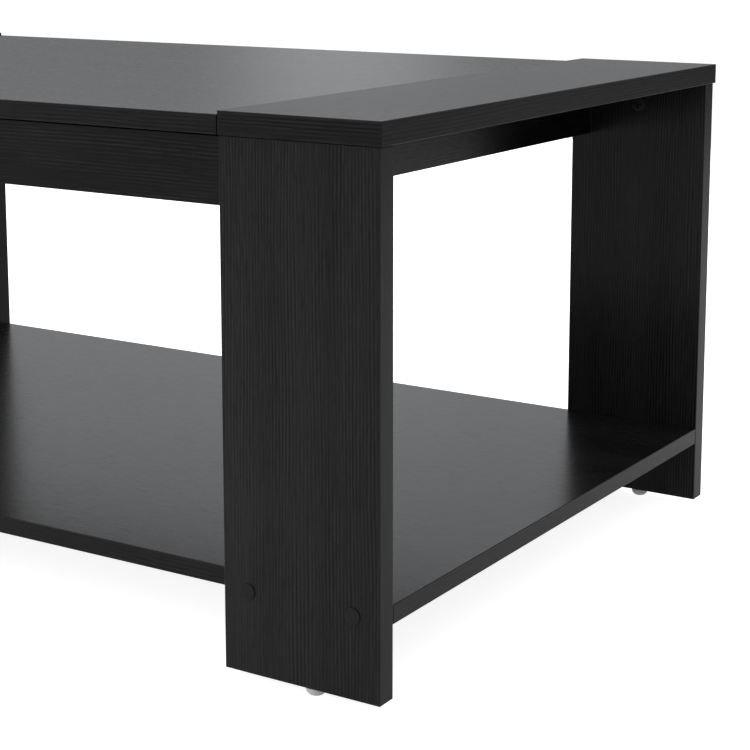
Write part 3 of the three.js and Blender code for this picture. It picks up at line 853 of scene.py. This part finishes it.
def add_arms(lift):
    lever = turned_by(lift.lever - lift.pivots["rear_base"], -lift.arm_angle)
    lobes = {"front": None, "rear": tuple(lever)}
    layers = {"front": lift.front_arm, "rear": lift.rear_arm}
    for place, lobe in lobes.items():
        node = f"{place}_arm_{lift.end}"
        near, far = layers[place]
        holes = [round_hole((u, 0), PIN_HOLE) for u in (0, lift.arm_length)]
        bm = blank(arm_outline(lift, lobe), holes, far - near)
        lift.into_place(bm, near, lift.pivots[f"{place}_base"], lift.arm_angle)
        standing_for(node, "strip", keep_flats_flat(to_mesh(node, bm, SMOOTH_FLAT)))


def screw_places(first, last):
    """Four screws, evenly spread between two points."""
    return [first + (last - first) * share for share in (0.2, 0.4, 0.6, 0.8)]


def add_base_bracket(lift):
    node = f"base_bracket_{lift.end}"
    low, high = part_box(node)
    line = low.z + BEND_OUTER
    end = flange_end(line, depths(lift.side, node)[1] - lift.base_plate[0])
    corner = 8 * MM
    corners = [(low.y, end), (high.y, end), (high.y, high.z - corner), (high.y - corner, high.z)]
    corners += [(low.y + corner, high.z), (low.y, high.z - corner)]
    pins = [lift.pivots["front_base"], lift.pivots["rear_base"]]
    row = low.z + 9 * MM
    screws = [(y, row) for y in screw_places(pins[0].x, pins[1].x)]
    holes = [round_hole(pin, PIN_HOLE) for pin in pins]
    holes += [round_hole(at, SCREW_HOLE, SCREW_HOLE_SEGMENTS) for at in screws]
    bm = blank(filleted(corners, BRACKET_CORNER), holes, SHEET)
    fold(bm, line)
    lift.into_place(bm, lift.base_plate[0])
    standing_for(node, "sheet", keep_flats_flat(to_mesh(node, bm, SMOOTH_FLAT)))
    return screws


def add_top_bracket(lift):
    node = f"top_bracket_{lift.end}"
    low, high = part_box(node)
    line = BEND_OUTER - high.z
    end = flange_end(line, depths(lift.side, node)[1] - lift.top_plate[0])
    front, rear = lift.pivots["front_top"], lift.pivots["rear_top"]
    deep, shallow, notch = -low.z, -low.z - 6 * MM, 6 * MM
    deep_to, shallow_from = front.x + 40 * MM, front.x + 52 * MM
    corners = [(low.y, end), (high.y, end), (high.y, shallow - notch), (high.y - notch, shallow)]
    corners += [(shallow_from, shallow), (deep_to, deep), (low.y + notch, deep), (low.y, shallow)]
    row = end + SCREW_INSET
    screw_ys = screw_places(low.y, high.y)
    holes = [round_hole((pin.x, -pin.y), PIN_HOLE) for pin in (front, rear)]
    holes += [round_hole((y, row), SCREW_HOLE, SCREW_HOLE_SEGMENTS) for y in screw_ys]
    bm = blank(filleted(corners, BRACKET_CORNER), holes, SHEET)
    fold(bm, line)
    lift.into_place(bm, lift.top_plate[0], upside_down=True)
    standing_for(node, "sheet", keep_flats_flat(to_mesh(node, bm, SMOOTH_FLAT)))
    depth = depths(lift.side, node)[1] - SCREW_INSET
    return [Vector((lift.x_at(depth), y, high.z - SHEET)) for y in screw_ys]


def add_base_pins(lift):
    """Staked in the base bracket, with a shoulder up to the arm and a rivet head past it."""
    for place, arm in (("front", lift.front_arm), ("rear", lift.rear_arm)):
        near, far = lift.base_plate
        head = arm[1] + GAP
        tail = near - 1 * MM
        profile = [(0, tail), (PIN_RADIUS - 0.4 * MM, tail), (PIN_RADIUS, tail + 0.4 * MM)]
        profile += [(PIN_RADIUS, far + GAP)]
        profile += rounded(SHOULDER_RADIUS, far + GAP, arm[0] - GAP, 0.3 * MM, 2)
        profile += [(PIN_RADIUS, arm[0] - GAP), (PIN_RADIUS, head), (HEAD_RADIUS, head)]
        profile += dome(HEAD_RADIUS, head + HEAD_RIM, HEAD_HEIGHT - HEAD_RIM)
        node = f"{place}_base_pin_{lift.end}"
        standing_for(node, "turned", turned(node, profile), lift.across(lift.pivots[f"{place}_base"]))


def add_top_pins(lift):
    """A rivet head on each side, and a shoulder between the arm and the bracket."""
    for place, arm in (("front", lift.front_arm), ("rear", lift.rear_arm)):
        nearer, farther = sorted((arm, lift.top_plate))
        start, end = nearer[0] - GAP, farther[1] + GAP
        outer_head = dome(HEAD_RADIUS, start - HEAD_RIM, HEAD_RIM - HEAD_HEIGHT)
        profile = [*reversed(outer_head), (HEAD_RADIUS, start), (PIN_RADIUS, start)]
        profile += [(PIN_RADIUS, nearer[1] + GAP)]
        profile += rounded(SHOULDER_RADIUS, nearer[1] + GAP, farther[0] - GAP, 0.3 * MM, 2)
        profile += [(PIN_RADIUS, farther[0] - GAP), (PIN_RADIUS, end), (HEAD_RADIUS, end)]
        profile += dome(HEAD_RADIUS, end + HEAD_RIM, HEAD_HEIGHT - HEAD_RIM)
        node = f"{place}_top_pin_{lift.end}"
        standing_for(node, "turned", turned(node, profile), lift.across(lift.pivots[f"{place}_top"]))


def stud_mesh(length, neck=None):
    """A stud with a rounded end. The neck, if any, holds a spring's hook at that height."""
    profile = [(0, -0.2 * MM), (STUD_RADIUS, -0.2 * MM)]
    if neck is not None:
        half, slope = WIRE_RADIUS + 0.25 * MM, STUD_RADIUS - STUD_NECK
        profile += [(STUD_RADIUS, neck - half - slope), (STUD_NECK, neck - half)]
        profile += [(STUD_NECK, neck + half), (STUD_RADIUS, neck + half + slope)]
    top = length - 0.6 * MM
    profile += [(STUD_RADIUS, top)]
    return turned("stud", [*profile, *dome(STUD_RADIUS, top, 0.6 * MM)[1:]], 32)


def add_studs(lift):
    near, far = lift.base_plate[1], lift.coil_depth + lift.coil_radius
    place = lift.across(lift.anchor, near)
    lift.add("anchor_stud", stud_mesh(far - near, lift.coil_depth - near), "frame", place)
    near, far = lift.rear_arm[0], lift.base_plate[1] + 1 * MM
    place = lift.across(lift.lever, near, outwards=True)
    stud = stud_mesh(near - far, near - lift.coil_depth)
    lift.add("lever_stud", stud, f"rear_link_{lift.end}", place)
    open_angle = lift.arm_angle + lift.travel
    along = turned_by(Vector((-STOP_REACH, 0)), open_angle)
    aside = turned_by(Vector((0, -lift.arm_half_width - STUD_RADIUS - GAP)), open_angle)
    place = lift.across(lift.pivots["front_top"] + along + aside, lift.top_plate[1])
    lift.add("stop_stud", stud_mesh(lift.front_arm[1] + 1 * MM - lift.top_plate[1]), "top", place)


# ---------------------------------------------------------------- lift springs

WIRE_SIDES = 8
HOOK_ALONG, HOOK_UP = 3.4 * MM, 2.75 * MM  # the loop is long, to clear the stud when it shortens
HOOK_FROM, HOOK_TO = 30, 285  # degrees round the stud
HOOK_LEAD = ((0.35, 2.6, -3.6), (1.6, 4.7, -4.3))  # millimetres, on the wire's way to the coil
COIL_START = 5.8 * MM  # from a stud's centre
COIL_FIRST_ANGLE = -50
COIL_TURNS = 53
STEPS_PER_TURN = 18


def smoothed(points, steps=5):
    """A Catmull-Rom curve through the points, in steps for each stretch."""
    ends = [points[0] * 2 - points[1], *points, points[-1] * 2 - points[-2]]
    curve = []
    for a, b, c, d in zip(ends, ends[1:], ends[2:], ends[3:]):
        for t in [step / steps for step in range(steps)]:
            bow = (c - a) * t + (a * 2 - b * 5 + c * 4 - d) * t**2 + (b * 3 - a - c * 3 + d) * t**3
            curve.append(b + bow / 2)
    return [*curve, points[-1]]


def wire_mesh(name, path, radius):
    """A round wire along a path, closed at both ends, that doesn't twist on its way."""
    bm = bmesh.new()
    rings = []
    side = None
    for i, point in enumerate(path):
        along = (path[min(i + 1, len(path) - 1)] - path[max(i - 1, 0)]).normalized()
        side = along.orthogonal() if side is None else side - along * side.dot(along)
        side.normalize()
        other = along.cross(side)
        turns = [2 * math.pi * step / WIRE_SIDES for step in range(WIRE_SIDES)]
        spokes = [side * math.cos(t) + other * math.sin(t) for t in turns]
        rings.append([bm.verts.new(point + spoke * radius) for spoke in spokes])
    for lower, upper in zip(rings, rings[1:]):
        for i in range(WIRE_SIDES):
            bm.faces.new((lower[i - 1], lower[i], upper[i], upper[i - 1]))
    bm.faces.new(rings[0])
    bm.faces.new(rings[-1])
    return to_mesh(name, bm, SMOOTH_WIRE)


def spring_path(length, radius):
    """The wire's middle line, as (depth, along, up) from the anchor stud to the lever's stud."""
    loop = arc((0, 0), 1, HOOK_FROM, HOOK_TO, 14)
    hook = [Vector((0, HOOK_ALONG * y, HOOK_UP * z)) for y, z in loop]
    hook += [Vector(part * MM for part in point) for point in HOOK_LEAD]
    first = math.radians(COIL_FIRST_ANGLE)
    start = Vector((radius * math.cos(first), COIL_START, radius * math.sin(first)))
    hook = smoothed([*hook, start])[:-1]
    # The far half mirrors the near half by a half turn about the upright through the middle.
    sweep = math.pi - 2 * first + 2 * math.pi * COIL_TURNS
    steps = round(sweep / (2 * math.pi) * STEPS_PER_TURN)
    coil = []
    for share in [step / steps for step in range(steps + 1)]:
        angle = first + sweep * share
        along = COIL_START + (length - 2 * COIL_START) * share
        coil.append(Vector((radius * math.cos(angle), along, radius * math.sin(angle))))
    far_hook = [Vector((-point.x, length - point.y, point.z)) for point in reversed(hook)]
    return [*hook, *coil, *far_hook]


def add_spring(lift):
    """Stretched between its studs."""
    node = f"lift_spring_{lift.end}"
    length = lift.lever.x - lift.anchor.x
    anchor = Vector((lift.x_at(lift.coil_depth), *lift.anchor))
    line = spring_path(length, lift.coil_radius - WIRE_RADIUS)
    path = [anchor + Vector((-lift.side * point.x, point.y, point.z)) for point in line]
    spring = standing_for(node, "wire", wire_mesh(node, path, WIRE_RADIUS))
    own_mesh(spring)


# ---------------------------------------------------------------- bracket screws

BRACKET_SCREW_HEAD = 3.6 * MM
BRACKET_SCREW_SHANK = 1.7 * MM


def bracket_screw_mesh():
    """Pan-head wood screw: the head stands on z = 0 and the shank goes down into the board."""
    tip, height = -11 * MM, 1.8 * MM
    profile = [(0, tip), (BRACKET_SCREW_SHANK, tip + 4 * MM), (BRACKET_SCREW_SHANK, 0)]
    profile += [(BRACKET_SCREW_HEAD, 0), *dome(BRACKET_SCREW_HEAD, 0.5 * MM, height - 0.5 * MM)]
    screw = turned("bracket_screw", profile, 32)
    return crossed(screw, width=0.9 * MM, length=4 * MM, floor=0.8 * MM, mouth=3 * MM)


def add_bracket_screws(lift, mesh, base_places, top_places):
    for number, (y, z) in enumerate(base_places, 1):
        lift.add(f"base_bracket_screw_{number}", mesh, "frame", lift.across((y, z), lift.base_plate[1]))
    for number, point in enumerate(top_places, 1):
        lift.add(f"top_bracket_screw_{number}", mesh, "top", facing(point, -AXES[Z]))


bracket_screw = bracket_screw_mesh()
for end in ENDS:
    mechanism = Mechanism(end)
    add_arms(mechanism)
    add_base_pins(mechanism)
    add_top_pins(mechanism)
    add_studs(mechanism)
    add_spring(mechanism)
    base_screws, top_screws = add_base_bracket(mechanism), add_top_bracket(mechanism)
    add_bracket_screws(mechanism, bracket_screw, base_screws, top_screws)


# ---------------------------------------------------------------- studio and camera

FLOOR_LOW, FLOOR_HIGH = Vector((-6, -6, 0)), Vector((3.2, 3.0, 0))
FLOOR_GREY = (0.6, 0.6, 0.6)
FLOOR_GLOW = 0.5
FLOOR_GLOW_SEEN = 0.87  # as the camera sees it
SUN_STRENGTH = 2.0
SUN_WIDTH = math.radians(110)
SUN_COMES_FROM = (-0.1, -0.45, 1.0)
SKY_TINT = (0.955, 0.975, 1.0)
SKY_SEEN = 1.1
SKY_LIGHT, HORIZON_LIGHT = 1.35, 0.05
SKY_STARTS, SKY_FULL = 0.11, 0.22  # upward parts of a direction, between the horizon and the sky
RIGHT_LIGHT = 0.26  # share of the light that is left to the right of the table
RIGHT_FULL = 0.9  # how far a direction leans towards +X where that share is reached
STREAK_LIGHT = 0.46
STREAK_AZIMUTH = 0.58  # from +Y towards -X
STREAK_HALF, STREAK_FADED = 0.01, 0.09  # sideways, to where it is full and where it has gone
STREAK_TOP, STREAK_TOP_FADED = 0.14, 0.20  # the same, upwards
CAMERA_PLACE = (1.2066, -1.3797, 0.5707)
CAMERA_YAW = 0.5633
CAMERA_PITCH = 0.1670
CAMERA_SHIFT = -0.19
CAMERA_NEAR, CAMERA_FAR = 0.05, 60
LENS = 89.74
SENSOR = 36.0


def add_floor():
    """A pale floor that glows like a light table, so that shadows on it stay faint."""
    bm = bmesh.new()
    low, high = FLOOR_LOW, FLOOR_HIGH
    corners = [(low.x, low.y, 0), (high.x, low.y, 0), (high.x, high.y, 0), (low.x, high.y, 0)]
    bm.faces.new([bm.verts.new(corner) for corner in corners])
    floor = bpy.data.objects.new("floor", to_mesh("floor", bm))
    bpy.context.scene.collection.objects.link(floor)
    surface = Surface("pale_floor", roughness=0.9, specular=0.1)
    surface.wire("Base Color", FLOOR_GREY)
    surface.wire("Emission Color", (1.0, 1.0, 1.0))
    seen = surface.node("ShaderNodeLightPath", {}).outputs["Is Camera Ray"]
    surface.wire("Emission Strength", surface.ramp(seen, 0.0, 1.0, FLOOR_GLOW, FLOOR_GLOW_SEEN))
    floor.data.materials.append(surface.material)


def add_soft_sun(strength, softness, comes_from):
    """Even light over the whole floor, from a wide part of the sky."""
    light = bpy.data.lights.new("soft_sun", "SUN")
    light.energy = strength
    light.angle = softness
    lamp = bpy.data.objects.new("soft_sun", light)
    lamp.rotation_euler = Vector(comes_from).to_track_quat("Z", "Y").to_euler()
    bpy.context.scene.collection.objects.link(lamp)


def add_world():
    """The surroundings, white where the camera sees them directly.

    As light they are dimmer near the horizon and to the right of the table, and low behind the table
    stands one upright streak of light.
    """
    world = bpy.data.worlds.new("studio")
    world.use_nodes = True
    sky = Nodes(world.node_tree)
    place = sky.node("ShaderNodeTexCoord", {}).outputs["Generated"]

    def change_towards(direction, low, high, to_low, to_high):
        """A smooth change of brightness with how far the direction of a ray leans one way."""
        operands = {0: place, 1: direction}
        lean = sky.node("ShaderNodeVectorMath", operands, operation="DOT_PRODUCT").outputs["Value"]
        return sky.ramp(lean, low, high, to_low, to_high, interpolation_type="SMOOTHSTEP")

    up, right = (0, 0, 1), (1, 0, 0)
    streak_side = (math.cos(STREAK_AZIMUTH), math.sin(STREAK_AZIMUTH), 0)
    rise = change_towards(up, SKY_STARTS, SKY_FULL, HORIZON_LIGHT, SKY_LIGHT)
    dimming = change_towards(right, 0.0, RIGHT_FULL, 1.0, RIGHT_LIGHT)
    right_side = change_towards(streak_side, STREAK_HALF, STREAK_FADED, 1.0, 0.0)
    left_side = change_towards(streak_side, -STREAK_FADED, -STREAK_HALF, 0.0, 1.0)
    low_down = change_towards(up, STREAK_TOP, STREAK_TOP_FADED, STREAK_LIGHT, 0.0)
    streak = sky.maths("MULTIPLY", sky.maths("MULTIPLY", right_side, left_side), low_down)
    light = sky.maths("ADD", sky.maths("MULTIPLY", rise, dimming), streak)
    seen = sky.node("ShaderNodeLightPath", {}).outputs["Is Camera Ray"]
    strengths = {0: seen, 2: light, 3: SKY_SEEN}
    background = sky.tree.nodes["Background"]
    sky.put(background, "Strength", sky.node("ShaderNodeMix", strengths).outputs[0])
    sky.put(background, "Color", SKY_TINT)
    bpy.context.scene.world = world


def add_studio():
    add_world()
    add_soft_sun(SUN_STRENGTH, SUN_WIDTH, SUN_COMES_FROM)
    bpy.context.scene.view_settings.view_transform = "Standard"


def add_camera():
    """Looks at the table from the photograph's angle."""
    data = bpy.data.cameras.new("camera")
    data.sensor_width = SENSOR
    data.lens = LENS
    data.shift_y = CAMERA_SHIFT
    data.clip_start, data.clip_end = CAMERA_NEAR, CAMERA_FAR
    camera = bpy.data.objects.new("camera", data)
    camera.location = CAMERA_PLACE
    camera.rotation_euler = (math.pi / 2 - CAMERA_PITCH, 0, CAMERA_YAW)
    bpy.context.scene.collection.objects.link(camera)
    bpy.context.scene.camera = camera


add_floor()
add_studio()
add_camera()
